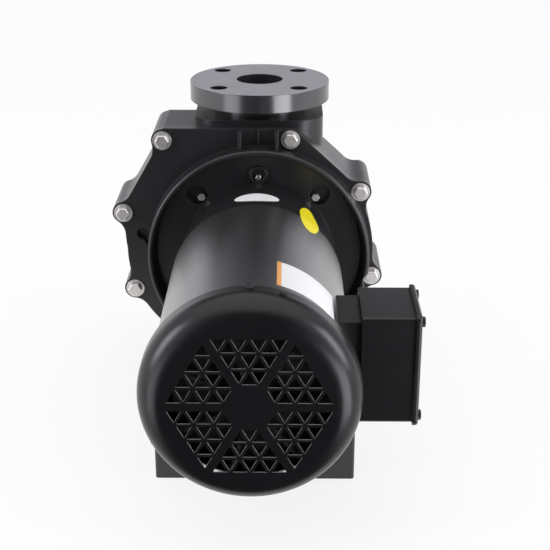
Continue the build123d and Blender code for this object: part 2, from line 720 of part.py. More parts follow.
# Cast end bell at the fan end, with three ears for the fan cover
with BuildPart() as fan_end_bell:
    flange_dia_in_cover = cover_dia - 2 * cover_wall - 12
    with BuildSketch(axial):
        with BuildLine():
            hub_y = fan_bearing_y + fan_bearing_width + 4
            back_y = fan_bearing_y - 5
            Polyline((shell_back_y + spigot_length, shell_bore_dia / 2 - bell_wall),
                     (shell_back_y + spigot_length, shell_bore_dia / 2), (shell_back_y, shell_bore_dia / 2),
                     (shell_back_y, flange_dia_in_cover / 2), (shell_back_y - 5, flange_dia_in_cover / 2 - 4),
                     (shell_back_y - 5, fan_housing_dia / 2), (back_y, fan_housing_dia / 2),
                     (back_y, fan_bearing_bore / 2 + 1), (fan_bearing_y, fan_bearing_bore / 2 + 1),
                     (fan_bearing_y, fan_bearing_dia / 2), (hub_y, fan_bearing_dia / 2),
                     (hub_y, fan_housing_dia / 2), (shell_back_y + 3, fan_housing_dia / 2),
                     (shell_back_y + 3, shell_bore_dia / 2 - bell_wall), close=True)
        make_face()
    revolve(axis=motor_axis)
    with BuildSketch(station(shell_back_y)):
        with PolarLocations((cover_dia / 2 + flange_dia_in_cover / 2 - 6) / 2, 3, start_angle=90):
            Rectangle(cover_dia / 2 - flange_dia_in_cover / 2 + 6, cover_ear_width)
    extrude(amount=cover_gap + 11)
    with BuildSketch(station(shell_back_y)):
        Circle(cover_dia)
        Circle(cover_dia / 2 - cover_wall, mode=Mode.SUBTRACT)
    extrude(amount=cover_gap + 11, mode=Mode.SUBTRACT)
    with Locations(*cover_screw_places):
        Hole(cover_screw_dia / 2, cover_screw_length)
    with Locations(*facing_fan(through_bolt_points, shell_back_y - 5)):
        Hole(through_bolt_dia / 2 + bolt_clearance, spigot_length + 8)

with BuildPart() as through_bolts:
    with Locations(*facing_fan(through_bolt_points, shell_back_y - 5)):
        add(hex_bolt(through_bolt_dia, shell_length + 5, through_bolt_flats, through_bolt_head))

# External fan with straight blades, so that it cools in either direction
with BuildPart() as cooling_fan:
    fan_y = cover_face_y + cover_wall + 6
    add(tube(fan_y, fan_y + fan_depth, fan_hub_dia, fan_seat_dia))
    add(tube(fan_y + fan_depth - fan_plate, fan_y + fan_depth, fan_dia - 20, fan_seat_dia))
    with BuildSketch(station(fan_y)):
        with PolarLocations((fan_dia + fan_hub_dia) / 4 - 1, fan_blades):
            Rectangle((fan_dia - fan_hub_dia) / 2 + 2, blade_thickness)
    extrude(amount=-fan_depth)

# Fan cover: deep drawn cap with a rounded edge and six sectors of triangular holes
hole_side = (grille_side + sqrt(3) * grille_bar) / grille_rows - sqrt(3) * grille_bar
pitch = hole_side + sqrt(3) * grille_bar
row = pitch * sqrt(3) / 2
with BuildSketch() as sector:
    for i in range(1, grille_rows):
        near = grille_gap - grille_bar + i * row
        with Locations(*[Location((near + row * 2 / 3, (j - i / 2) * pitch, 0), 180) for j in range(i + 1)]):
            RegularPolygon(hole_side / sqrt(3), 3)
        with Locations(*[Location((near + row / 3, (j - (i - 1) / 2) * pitch, 0)) for j in range(i)]):
            RegularPolygon(hole_side / sqrt(3), 3)

with BuildPart() as fan_cover:
    outer = cover_dia / 2
    with BuildSketch(axial):
        with BuildLine():
            Polyline((cover_rim_y, outer - cover_wall), (cover_rim_y, outer),
                     (cover_face_y + cover_edge_radius, outer))
            RadiusArc((cover_face_y + cover_edge_radius, outer), (cover_face_y, outer - cover_edge_radius),
                      -cover_edge_radius)
            Polyline((cover_face_y, outer - cover_edge_radius), (cover_face_y, 0), (cover_face_y + cover_wall, 0),
                     (cover_face_y + cover_wall, outer - cover_edge_radius))
            RadiusArc((cover_face_y + cover_wall, outer - cover_edge_radius),
                      (cover_face_y + cover_edge_radius, outer - cover_wall), cover_edge_radius - cover_wall)
            Line((cover_face_y + cover_edge_radius, outer - cover_wall), (cover_rim_y, outer - cover_wall))
        make_face()
    revolve(axis=motor_axis)
    with BuildSketch(station(cover_face_y + cover_wall + 1)):
        with PolarLocations(0, grille_sectors, start_angle=30):
            add(sector.sketch)
    extrude(amount=cover_wall + 2, mode=Mode.SUBTRACT)
    with Locations(*cover_screw_places):
        Hole(cover_screw_dia / 2, 2 * cover_wall)
    with Locations(on_cover(plug_angle, plug_inset)):
        Hole(plug_dia / 4, 2 * cover_wall)

# Rubber plug in a small hole of the cover, beside the top screw
with BuildPart() as cover_plug:
    with Locations(on_cover(plug_angle, plug_inset)):
        Cylinder(plug_dia / 2, plug_rise, align=(Align.CENTER, Align.CENTER, Align.MIN))
        Cylinder(plug_dia / 4, 2 * cover_wall, align=(Align.CENTER, Align.CENTER, Align.MAX))

with BuildPart() as cover_screws:
    with Locations(*cover_screw_places):
        add(hex_bolt(cover_screw_dia, cover_screw_length, cover_screw_flats, small_head))

# Pressed steel feet, left and right, welded under the shell
with BuildPart() as motor_foot:
    with BuildSketch(Plane((0, 0, riser_height))):
        for side in (-1, 1):
            with Locations((side * (foot_width / 2 + foot_inner_x) / 2, 0)):
                Rectangle(foot_width / 2 - foot_inner_x, foot_length)
        with Locations(*foot_points):
            Circle(foot_bolt_dia / 2 + bolt_clearance, mode=Mode.SUBTRACT)
    extrude(amount=foot_sheet)
    for side in (-1, 1):
        with BuildSketch(Plane((side * (foot_inner_x + foot_sheet / 2), 0, riser_height))):
            Rectangle(foot_sheet, foot_length)
        extrude(amount=shaft_height / 2)
        for end in (-1, 1):
            with BuildSketch(Plane((side * (foot_inner_x + foot_gusset_x) / 2, end * (foot_length - foot_sheet) / 2,
                                    riser_height))):
                Rectangle(foot_gusset_x - foot_inner_x, foot_sheet)
            extrude(amount=shaft_height / 2)
    with BuildSketch(station(foot_length)):
        Circle(shell_dia / 2)
    extrude(amount=2 * foot_length, mode=Mode.SUBTRACT)
    add(tube(shell_front_y, face_y, drive_bell_dia, 0), mode=Mode.SUBTRACT)

with BuildPart() as foot_bolts:
    with Locations(*[(x, y, riser_height + foot_sheet) for x, y in foot_points]):
        add(hex_bolt(foot_bolt_dia, foot_bolt_length, foot_bolt_flats, foot_bolt_head))

# Moulded riser: two legs joined over an arch, with floor lugs in side pockets
with BuildPart() as base_riser:
    with BuildSketch(Plane.XY):
        RectangleRounded(riser_width, riser_length, 3)
    extrude(amount=riser_height)
    with BuildSketch(Plane((0, riser_length, 0), x_dir=(1, 0, 0), z_dir=(0, -1, 0))) as arch:
        with Locations((0, arch_height / 2)):
            Rectangle(arch_width, arch_height)
        fillet(arch.vertices().group_by(Axis.Y)[-1], arch_corner)
    extrude(amount=2 * riser_length, mode=Mode.SUBTRACT)
    with BuildSketch(station(riser_length)):
        Circle(shell_dia / 2 + 2)
    extrude(amount=2 * riser_length, mode=Mode.SUBTRACT)
    with BuildSketch(Plane((0, 0, lug_thickness))):
        with GridLocations(riser_width - lug_pocket_depth, anchor_spacing_y, 2, 2):
            Rectangle(lug_pocket_depth, lug_pocket_width)
    extrude(amount=lug_pocket_height, mode=Mode.SUBTRACT)
    with Locations((0, 0, lug_thickness)):
        with GridLocations(anchor_spacing_x, anchor_spacing_y, 2, 2):
            Hole(anchor_hole_dia / 2, lug_thickness)
    with Locations(*[(x, y, riser_height) for x, y in foot_points]):
        Hole(foot_bolt_dia / 2, foot_bolt_length)

# Conduit box on the right side of the shell
side_plane = Plane((0, box_middle_y, axis_z), x_dir=(0, 1, 0), z_dir=(1, 0, 0))
with BuildPart() as conduit_neck:
    with BuildSketch(side_plane.offset(shell_dia / 4)):
        Rectangle(box_neck_length, box_neck_height)
        Rectangle(box_neck_length - 6, box_neck_height - 6, mode=Mode.SUBTRACT)
    extrude(amount=box_back_x - shell_dia / 4)
    with BuildSketch(station(0)):
        Circle(shell_dia / 2)
    extrude(amount=4 * box_length, mode=Mode.SUBTRACT)

# The box has a post in each corner for a lid screw
screw_y = box_length / 2 - lid_screw_inset
screw_z = box_height / 2 - lid_screw_inset
lid_screw_points = [(y * screw_y, z * screw_z) for y in (-1, 1) for z in (-1, 1)]
with BuildPart() as conduit_box:
    with BuildSketch(side_plane.offset(box_back_x)):
        RectangleRounded(box_length, box_height, box_corner)
    extrude(amount=box_reach - box_back_x)
    with BuildSketch(side_plane.offset(box_back_x + box_wall)):
        RectangleRounded(box_length - 2 * box_wall, box_height - 2 * box_wall, box_corner - box_wall)
    extrude(amount=box_reach - box_back_x, mode=Mode.SUBTRACT)
    with BuildSketch(side_plane.offset(box_back_x)):
        Rectangle(box_neck_length - 6, box_neck_height - 16)
    extrude(amount=box_wall, mode=Mode.SUBTRACT)
    with BuildSketch(side_plane.offset(box_back_x + box_wall)):
        with Locations(*lid_screw_points):
            Circle(lid_post_dia / 2)
    extrude(amount=box_reach - box_back_x - box_wall)
    with BuildSketch(side_plane.offset(box_reach)):
        with Locations(*lid_screw_points):
            Circle(lid_screw_dia / 2)
    extrude(amount=-lid_screw_length, mode=Mode.SUBTRACT)
    with Locations(Location(((box_back_x + box_reach) / 2, box_middle_y, axis_z - box_height / 2), (180, 0, 0))):
        Hole(conduit_hole_dia / 2, 2 * box_wall)

with BuildPart() as lid_gasket:
    with BuildSketch(side_plane.offset(box_reach)):
        RectangleRounded(box_length, box_height, box_corner)
        RectangleRounded(box_length - 9, box_height - 9, 3, mode=Mode.SUBTRACT)
        with Locations(*lid_screw_points):
            Circle(5)
            Circle(lid_screw_dia / 2 + bolt_clearance, mode=Mode.SUBTRACT)
    extrude(amount=lid_gasket_thickness)

with BuildPart() as conduit_lid:
    with BuildSketch(side_plane.offset(box_reach + lid_gasket_thickness)):
        RectangleRounded(box_length + 2 * lid_lip, box_height + 2 * lid_lip, box_corner + lid_lip)
        with Locations(*lid_screw_points):
            Circle(lid_screw_dia / 2 + bolt_clearance, mode=Mode.SUBTRACT)
    extrude(amount=lid_thickness)
    fillet(conduit_lid.faces().sort_by(Axis.X)[-1].outer_wire().edges(), 2.5)

with BuildPart() as lid_screws:
    lid_face_x = box_reach + lid_gasket_thickness + lid_thickness
    with Locations(side_plane.offset(lid_face_x).location):
        with Locations(*lid_screw_points):
            add(hex_bolt(lid_screw_dia, lid_screw_length, lid_screw_flats, small_head))

volute_casing.part.label = "volute_casing"
export_step(volute_casing.part, "parts/volute_casing.step")
discharge_flange.part.label = "discharge_flange"
export_step(discharge_flange.part, "parts/discharge_flange.step")
suction_flange.part.label = "suction_flange"
export_step(suction_flange.part, "parts/suction_flange.step")
motor_bracket.part.label = "motor_bracket"
export_step(motor_bracket.part, "parts/motor_bracket.step")
casing_bolts.part.label = "casing_bolts"
export_step(casing_bolts.part, "parts/casing_bolts.step")
casing_washers.part.label = "casing_washers"
export_step(casing_washers.part, "parts/casing_washers.step")
thread_inserts.part.label = "thread_inserts"
export_step(thread_inserts.part, "parts/thread_inserts.step")
seal_plate_bolts.part.label = "seal_plate_bolts"
export_step(seal_plate_bolts.part, "parts/seal_plate_bolts.step")
face_bolts.part.label = "face_bolts"
export_step(face_bolts.part, "parts/face_bolts.step")
vent_screw.part.label = "vent_screw"
export_step(vent_screw.part, "parts/vent_screw.step")
seal_plate.part.label = "seal_plate"
export_step(seal_plate.part, "parts/seal_plate.step")
casing_o_ring.part.label = "casing_o_ring"
export_step(casing_o_ring.part, "parts/casing_o_ring.step")
seal_seat.part.label = "seal_seat"
export_step(seal_seat.part, "parts/seal_seat.step")
seal_head.part.label = "seal_head"
export_step(seal_head.part, "parts/seal_head.step")
seal_spring.part.label = "seal_spring"
export_step(seal_spring.part, "parts/seal_spring.step")
impeller.part.label = "impeller"
export_step(impeller.part, "parts/impeller.step")
impeller_screw.part.label = "impeller_screw"
export_step(impeller_screw.part, "parts/impeller_screw.step")
impeller_washer.part.label = "impeller_washer"
export_step(impeller_washer.part, "parts/impeller_washer.step")
rotor_shaft.part.label = "rotor_shaft"
export_step(rotor_shaft.part, "parts/rotor_shaft.step")
rotor_core.part.label = "rotor_core"
export_step(rotor_core.part, "parts/rotor_core.step")
water_slinger.part.label = "water_slinger"
export_step(water_slinger.part, "parts/water_slinger.step")
drive_bearing_outer.part.label = "drive_bearing_outer"
export_step(drive_bearing_outer.part, "parts/drive_bearing_outer.step")
drive_bearing_inner.part.label = "drive_bearing_inner"
export_step(drive_bearing_inner.part, "parts/drive_bearing_inner.step")
drive_bearing_balls.part.label = "drive_bearing_balls"
export_step(drive_bearing_balls.part, "parts/drive_bearing_balls.step")
fan_bearing_outer.part.label = "fan_bearing_outer"
export_step(fan_bearing_outer.part, "parts/fan_bearing_outer.step")
fan_bearing_inner.part.label = "fan_bearing_inner"
export_step(fan_bearing_inner.part, "parts/fan_bearing_inner.step")
fan_bearing_balls.part.label = "fan_bearing_balls"
export_step(fan_bearing_balls.part, "parts/fan_bearing_balls.step")
motor_shell.part.label = "motor_shell"
export_step(motor_shell.part, "parts/motor_shell.step")
stator_core.part.label = "stator_core"
export_step(stator_core.part, "parts/stator_core.step")
stator_windings.part.label = "stator_windings"
export_step(stator_windings.part, "parts/stator_windings.step")
drive_end_bell.part.label = "drive_end_bell"
export_step(drive_end_bell.part, "parts/drive_end_bell.step")
fan_end_bell.part.label = "fan_end_bell"
export_step(fan_end_bell.part, "parts/fan_end_bell.step")
through_bolts.part.label = "through_bolts"
export_step(through_bolts.part, "parts/through_bolts.step")
cooling_fan.part.label = "cooling_fan"
export_step(cooling_fan.part, "parts/cooling_fan.step")
fan_cover.part.label = "fan_cover"
export_step(fan_cover.part, "parts/fan_cover.step")
cover_plug.part.label = "cover_plug"
export_step(cover_plug.part, "parts/cover_plug.step")
cover_screws.part.label = "cover_screws"
export_step(cover_screws.part, "parts/cover_screws.step")
motor_foot.part.label = "motor_foot"
export_step(motor_foot.part, "parts/motor_foot.step")
foot_bolts.part.label = "foot_bolts"
export_step(foot_bolts.part, "parts/foot_bolts.step")
base_riser.part.label = "base_riser"
export_step(base_riser.part, "parts/base_riser.step")
conduit_neck.part.label = "conduit_neck"
export_step(conduit_neck.part, "parts/conduit_neck.step")
conduit_box.part.label = "conduit_box"
export_step(conduit_box.part, "parts/conduit_box.step")
lid_gasket.part.label = "lid_gasket"
export_step(lid_gasket.part, "parts/lid_gasket.step")
conduit_lid.part.label = "conduit_lid"
export_step(conduit_lid.part, "parts/conduit_lid.step")
lid_screws.part.label = "lid_screws"
export_step(lid_screws.part, "parts/lid_screws.step")
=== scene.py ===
from math import cos, pi, radians, sin

import bpy
import numpy as np
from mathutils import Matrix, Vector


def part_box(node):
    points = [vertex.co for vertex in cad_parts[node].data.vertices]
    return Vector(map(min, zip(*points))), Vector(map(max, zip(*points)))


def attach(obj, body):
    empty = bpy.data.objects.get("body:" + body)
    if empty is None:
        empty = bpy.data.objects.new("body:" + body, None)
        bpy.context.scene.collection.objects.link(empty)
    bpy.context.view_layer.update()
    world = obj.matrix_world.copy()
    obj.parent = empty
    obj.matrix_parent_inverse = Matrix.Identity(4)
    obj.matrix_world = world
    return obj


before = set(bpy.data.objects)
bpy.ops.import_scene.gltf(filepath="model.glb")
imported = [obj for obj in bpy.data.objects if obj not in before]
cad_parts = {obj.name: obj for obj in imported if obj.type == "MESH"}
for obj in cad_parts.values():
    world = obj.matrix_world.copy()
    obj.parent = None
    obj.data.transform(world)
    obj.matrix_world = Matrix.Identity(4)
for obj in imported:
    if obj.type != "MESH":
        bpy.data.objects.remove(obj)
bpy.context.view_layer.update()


# Camera, floor and lamps. The pump stands near the front edge of a large white card, in a
# room that is dim behind the camera and pale at the sides, behind the pump and overhead.
# Two soft boxes stand left and right of it, and two lower ones nearer the camera.
class Signal:
    """What varies over a surface: a node's output, on which + - * and ** add Math nodes."""

    def __init__(self, tree, socket):
        self.tree = tree
        self.socket = socket

    def maths(self, operation, first, second=0.0):
        return self.tree.node("Math", {"operation": operation}, {0: first, 1: second})

    def __add__(self, other):
        return self.maths("ADD", self, other)

    def __sub__(self, other):
        return self.maths("SUBTRACT", self, other)

    def __mul__(self, other):
        return self.maths("MULTIPLY", self, other)

    def __pow__(self, other):
        return self.maths("POWER", self, other)

    def __rsub__(self, other):
        return self.maths("SUBTRACT", other, self)

    def __abs__(self):
        return self.maths("ABSOLUTE", self)

    def most(self, other):
        return self.maths("MAXIMUM", self, other)

    def ripple(self, length):
        """A wave from 0 to 1 that repeats over that length."""
        return self.maths("SINE", self * (2 * pi / length)) * 0.5 + 0.5

    def rise(self, low, high):
        """0 below low, 1 above high, and a smooth step between them."""
        sockets = {0: self, 1: low, 2: high, 3: 0.0, 4: 1.0}
        return self.tree.node("MapRange", {"interpolation_type": "SMOOTHSTEP"}, sockets)

    __radd__ = __add__
    __rmul__ = __mul__


class Tree:
    """Nodes of a material or of the room, added by name; place is where they are looked up."""

    def __init__(self, owner, place="Object"):
        owner.use_nodes = True
        self.nodes = owner.node_tree.nodes
        self.links = owner.node_tree.links
        self.nodes.clear()
        self.place = self.node("TexCoord", output=place)

    def node(self, kind, settings=None, sockets=None, output=0):
        """Adds a node: its settings are set first, then its sockets get values or links."""
        made = self.nodes.new("ShaderNode" + kind)
        for name, value in (settings or {}).items():
            setattr(made, name, value)
        self.join(made, sockets or {})
        return None if output is None else Signal(self, made.outputs[output])

    def join(self, made, sockets):
        for name, value in sockets.items():
            socket = made.inputs[name]
            if isinstance(value, Signal):
                self.links.new(value.socket, socket)
            elif socket.type == "RGBA":
                socket.default_value = (*value, 1.0)
            else:
                socket.default_value = value

    def axis(self, letter):
        """One of the place's coordinates: metres on a piece, a share of 1 in the room."""
        return self.node("SeparateXYZ", {}, {0: self.place}, output=letter.upper())

    def blend(self, amount, first, second):
        """Shader that goes from first to second by a signal from 0 to 1."""
        return self.node("MixShader", {}, {0: amount, 1: first, 2: second})

    def backdrop_rays(self):
        """Two signals: 1 for the camera's own rays, and 1 for reflected ones or those let through."""
        names = ["Is Camera Ray", "Is Glossy Ray", "Is Transmission Ray"]
        camera_ray, glossy_ray, passing_ray = [self.node("LightPath", output=name) for name in names]
        return camera_ray, glossy_ray.most(passing_ray)


class Finish(Tree):
    """A surface finish: a material with one Principled shader."""

    def __init__(self, name, **shader):
        self.material = bpy.data.materials.new(name)
        super().__init__(self.material)
        self.shader = self.node("BsdfPrincipled", {}, shader)
        self.out = self.nodes.new("ShaderNodeOutputMaterial")
        self.join(self.out, {"Surface": self.shader})

    def set(self, **sockets):
        """Gives the shader's sockets their values or links, such as Base_Color."""
        made = self.shader.socket.node
        self.join(made, {name.replace("_", " "): value for name, value in sockets.items()})
        return self

    def noise(self, size, detail=2.0, roughness=0.5, stretch=(1, 1, 1)):
        """Cloudy noise from 0 to 1 with features of about that size in metres."""
        scale = tuple(s / size for s in stretch)
        place = self.node("Mapping", {}, {"Vector": self.place, "Scale": scale})
        sockets = {"Vector": place, "Scale": 1.0, "Detail": detail, "Roughness": roughness}
        return self.node("TexNoise", {}, sockets)

    def tint(self, amount, dark, light):
        """Colour between dark and light by a signal from 0 to 1."""
        return self.node("Mix", {"data_type": "RGBA"}, {0: amount, 6: dark, 7: light}, output=2)

    def radius(self, centre, across="xz"):
        """Distance from an axis through centre; across names the two coordinates used."""
        squares = [(self.axis(letter) - centre["xyz".index(letter)]) ** 2 for letter in across]
        return (squares[0] + squares[1]) ** 0.5

    def relief(self, height, depth, edge=0.0008):
        """Raises the surface by a signal times depth in metres, over softened edges."""
        soft = self.node("Bevel", {"samples": 4}, {"Radius": edge})
        sockets = {"Height": height, "Distance": depth, "Strength": 1.0, "Normal": soft}
        return self.set(Normal=self.node("Bump", {}, sockets))


def dress(finish, *names):
    """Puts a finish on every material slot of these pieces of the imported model."""
    for name in names:
        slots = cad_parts[name].data.materials
        for i in range(len(slots)):
            slots[i] = finish.material
        if not slots:
            slots.append(finish.material)


looks_down, turned_left = 0.3843, 0.0097
camera = bpy.data.objects.new("camera", bpy.data.cameras.new("camera"))
camera.location = (0.02958, -1.07979, 0.62423)
camera.rotation_euler = (pi / 2 - looks_down, 0.0, turned_left)
camera.data.lens = 79.0
camera.data.sensor_width = 36.0
camera.data.clip_start = 0.05
bpy.context.scene.collection.objects.link(camera)
bpy.context.scene.camera = camera
bpy.context.scene.view_settings.view_transform = "Standard"


def grid_piece(name, xyz):
    """Mesh from an array of points u by v by 3, with a face for each cell of the grid."""
    rows, columns = xyz.shape[:2]
    index = np.arange(rows * columns).reshape(rows, columns)
    corners = [index[:-1, :-1], index[1:, :-1], index[1:, 1:], index[:-1, 1:]]
    faces = np.stack(corners, axis=-1).reshape(-1, 4)
    mesh = bpy.data.meshes.new(name)
    mesh.from_pydata(xyz.reshape(-1, 3).tolist(), [], faces.tolist())
    mesh.shade_smooth()
    piece = bpy.data.objects.new(name, mesh)
    bpy.context.scene.collection.objects.link(piece)
    return piece


card = Finish("white_card", Roughness=0.9)
card.set(Base_Color=card.tint(card.noise(0.35), (0.90, 0.90, 0.90), (0.93, 0.93, 0.93)))
seen, reflected = card.backdrop_rays()
glow = card.node("Emission", {}, {"Color": (1, 1, 1), "Strength": 1.0})
glow_share = 0.8                # the rest keeps the pump's shadow
card.join(card.out, {"Surface": card.blend(seen.most(reflected) * glow_share, card.shader, glow)})
card_sides, card_ends = (-2.6, 2.6), (-0.21, 3.4)
sides, ends = np.meshgrid(card_sides, card_ends, indexing="ij")
floor = grid_piece("floor", np.stack([sides, ends, 0 * sides], axis=-1))
floor.data.materials.append(card.material)

world = bpy.data.worlds.new("white_room")
bpy.context.scene.world = world
room = Tree(world, "Generated")


def room_light(tone, strength):
    """Light from one part of the room, white or a little blue."""
    return room.node("Background", {}, {"Color": (tone, tone, 1.0), "Strength": strength})


dim_front = room_light(0.90, 0.05)
side_walls = room_light(0.95, 0.90)
horizon = room_light(0.95, 1.30)
overhead = room_light(0.97, 1.30)
backdrop = room_light(1.00, 1.00)
to_the_side = abs(room.axis("x")).rise(0.35, 0.75)
low_behind = room.axis("z").rise(0.42, 0.10) * room.axis("y").rise(0.0, 0.5)
high_up = room.axis("z").rise(0.55, 0.85)
around = room.blend(low_behind, room.blend(to_the_side, dim_front, side_walls), horizon)
lit_room = room.blend(high_up, around, overhead)
seen, reflected = room.backdrop_rays()
past_the_card = room.axis("y").rise(0.2, 0.5) * room.axis("z").rise(0.05, -0.05)
surface = room.blend(seen.most(reflected * past_the_card), lit_room, backdrop)
room.node("OutputWorld", {}, {"Surface": surface}, output=None)


def soft_box(name, azimuth, elevation, width, height, brightness):
    """Area lamp aimed at the pump, placed by its direction from the camera's side, in degrees.

    Brightness is what a mirror would show of it, where white card is 1.
    """
    distance, target = 1.9, np.array([0.0, 0.10, 0.15])
    lamp = bpy.data.lights.new(name, "AREA")
    lamp.shape = "RECTANGLE"
    lamp.color = (0.94, 0.94, 1.0)
    lamp.size, lamp.size_y, lamp.energy = width, height, brightness * pi * width * height
    a, e = radians(azimuth), radians(elevation)
    holder = bpy.data.objects.new(name, lamp)
    toward = np.array([sin(a) * cos(e), -cos(a) * cos(e), sin(e)])
    holder.location = toward * distance + target
    holder.rotation_euler = (pi / 2 - e, 0, a)
    holder.visible_camera = False
    bpy.context.scene.collection.objects.link(holder)


soft_box("box_left", -66, 16, 0.6, 1.0, 7.5)
soft_box("box_right", 66, 16, 0.6, 1.0, 7.5)
soft_box("box_near_left", -47, -16, 0.92, 0.9, 1.8)
soft_box("box_near_right", 40, -16, 1.00, 0.9, 4.8)


# Volute casing. Black glass-filled plastic, moulded in one piece with its neck and floor
# pad, and left with the fine grain of the mould.
def moulded_plastic(name, dark, light, rough, grain=0.0007, depth=0.00004, edge=0.0009):
    """Glass-filled plastic: flow clouds in the colour, fine mould grain, softened edges."""
    finish = Finish(name)
    cloud = finish.noise(0.045, 3.0, 0.6)
    speck = finish.noise(grain, 2.0, 0.6)
    finish.set(Base_Color=finish.tint(cloud * 0.7 + speck * 0.3, dark, light))
    finish.set(Roughness=cloud * 0.10 + speck * 0.06 + (rough - 0.08))
    return finish.relief(speck, depth, edge)


casing_black = moulded_plastic("casing_plastic", (0.010, 0.010, 0.011), (0.020, 0.020, 0.022), 0.36)
dress(casing_black, "volute_casing")


# Discharge and suction flanges. Dark plastic rings turned on a lathe: the joint face is
# left with its fine tool rings and looks pale, the rim and the holes are glossy.
def turned_plastic(name, centre, along, face_level, tool_step=0.0007):
    """Plastic turned about an axis through centre, along one of the coordinates.

    The joint face, at face_level on that axis, is pale and matt; the rim is dark and glossy.
    """
    pale, dark = (0.25, 0.25, 0.27), (0.012, 0.012, 0.014)
    finish = Finish(name, IOR=1.55)
    finish.set(Specular_IOR_Level=1.0)
    from_axis = finish.radius(centre, "xyz".replace(along, ""))
    drift = finish.noise(0.03, 2.0, 0.5, (1, 1, 0.3))
    ring = (from_axis + drift * 0.0006).ripple(tool_step)
    on_face = 1 - abs(finish.axis(along) - face_level).rise(0.0004, 0.0008)
    shade = on_face * (drift * 0.25 + ring * 0.12 + 0.75) + (1 - on_face) * drift * 0.10
    finish.set(Base_Color=finish.tint(shade, dark, pale))
    finish.set(Roughness=on_face * (ring * 0.08 + 0.32) + drift * 0.06 + 0.16)
    return finish.relief(ring * on_face + finish.noise(0.0006) * 0.5, 0.00002, 0.0008)


low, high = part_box("discharge_flange")
flange_grey = turned_plastic("flange_grey", tuple((low + high) / 2), "z", high.z)
dress(flange_grey, "discharge_flange")
shell_low, shell_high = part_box("motor_shell")
shaft_height = (shell_low.z + shell_high.z) / 2
shaft_centre = (0.0, 0.0, shaft_height)
suction_grey = turned_plastic("suction_grey", shaft_centre, "y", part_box("suction_flange")[1].y)
dress(suction_grey, "suction_flange")

# Ring bracket. The same plastic as the casing, moulded with a tall ring round the motor's
# end, and bolted to the casing all round.
bracket_black = moulded_plastic("bracket_plastic", (0.011, 0.011, 0.012), (0.022, 0.022, 0.024), 0.32,
                                0.0009, edge=0.0014)
dress(bracket_black, "motor_bracket")


# Bolts, washers and screws that show on the pump end. Stainless steel, with cold-headed
# tops that are a little dished and marked by the spanner.
def bright_steel(name, dark, light, rough, size=0.0016, metallic=1.0):
    """Bare or plated steel: short scratches one way, water marks, softened edges."""
    finish = Finish(name, Metallic=metallic)
    scratch = finish.noise(size, 3.0, 0.7, (1.0, 1.0, 9.0))
    mark = finish.noise(0.005, 2.0, 0.6)
    finish.set(Base_Color=finish.tint(mark * 0.6 + scratch * 0.4, dark, light))
    finish.set(Roughness=scratch * 0.16 + mark * 0.14 + (rough - 0.15))
    return finish.relief(scratch, 0.00002, 0.0005)


stainless = bright_steel("stainless_steel", (0.70, 0.665, 0.65), (0.95, 0.92, 0.89), 0.40)
dress(stainless, "casing_bolts", "casing_washers", "seal_plate_bolts", "vent_screw")
dress(stainless, "impeller_screw", "impeller_washer", "seal_spring")
zinc = bright_steel("zinc_plate", (0.36, 0.37, 0.38), (0.58, 0.58, 0.56), 0.38)
dress(zinc, "face_bolts", "foot_bolts", "through_bolts")
brass = bright_steel("turned_brass", (0.52, 0.36, 0.15), (0.74, 0.55, 0.27), 0.32)
dress(brass, "thread_inserts")

# Seal plate with its rubber ring, and the mechanical seal. The plate is moulded like the
# casing; a lapped ceramic ring faces a carbon head, and a rubber slinger keeps drops off.
plate_black = moulded_plastic("seal_plate_plastic", (0.013, 0.013, 0.014), (0.026, 0.026, 0.028), 0.42)
dress(plate_black, "seal_plate")
rubber = moulded_plastic("moulded_rubber", (0.012, 0.012, 0.012), (0.020, 0.020, 0.019), 0.62,
                         0.0011, 0.00006)
dress(rubber, "casing_o_ring", "water_slinger", "lid_gasket", "cover_plug")
carbon = moulded_plastic("lapped_carbon", (0.018, 0.018, 0.019), (0.034, 0.034, 0.036), 0.30,
                         0.0005, 0.00001)
dress(carbon, "seal_head")
ceramic = moulded_plastic("lapped_ceramic", (0.74, 0.72, 0.67), (0.83, 0.81, 0.77), 0.22,
                          0.0012, 0.00001)
dress(ceramic, "seal_seat")

# Impeller. Closed wheel of grey glass-filled plastic, welded from two mouldings, held on
# the shaft by its screw.
wheel_grey = moulded_plastic("impeller_plastic", (0.035, 0.036, 0.038), (0.060, 0.061, 0.064), 0.40,
                             0.0008)
dress(wheel_grey, "impeller")

# Shaft, rotor core and the two ball bearings. Ground steel, a varnished stack of thin
# sheets with cast end rings, and polished races and balls.
ground = Finish("ground_shaft", Metallic=1.0)
grinding = ground.noise(0.0006, 2.0, 0.7, (0.3, 6.0, 0.3))
ground.set(Base_Color=ground.tint(grinding, (0.42, 0.42, 0.42), (0.60, 0.60, 0.60)))
ground.set(Roughness=grinding * 0.12 + 0.20)
ground.relief(grinding, 0.00001, 0.0004)
dress(ground, "rotor_shaft")
polished = bright_steel("bearing_steel", (0.52, 0.52, 0.53), (0.66, 0.66, 0.67), 0.18, 0.0009)
dress(polished, "drive_bearing_inner", "drive_bearing_outer", "drive_bearing_balls")
dress(polished, "fan_bearing_inner", "fan_bearing_outer", "fan_bearing_balls")


def sheet_stack(name, dark, light, sheet=0.0005):
    """Stack of thin steel sheets along the shaft: a fine line at each joint, brown varnish."""
    finish = Finish(name, Metallic=0.85)
    joint = finish.axis("y").ripple(sheet)
    varnish = finish.noise(0.012, 3.0, 0.6)
    finish.set(Base_Color=finish.tint(varnish * 0.7 + joint * 0.3, dark, light))
    finish.set(Roughness=varnish * 0.2 + 0.35)
    return finish.relief(joint, 0.00003, 0.0004)


stack = sheet_stack("sheet_stack", (0.10, 0.095, 0.09), (0.24, 0.235, 0.23))
dress(stack, "rotor_core", "stator_core")

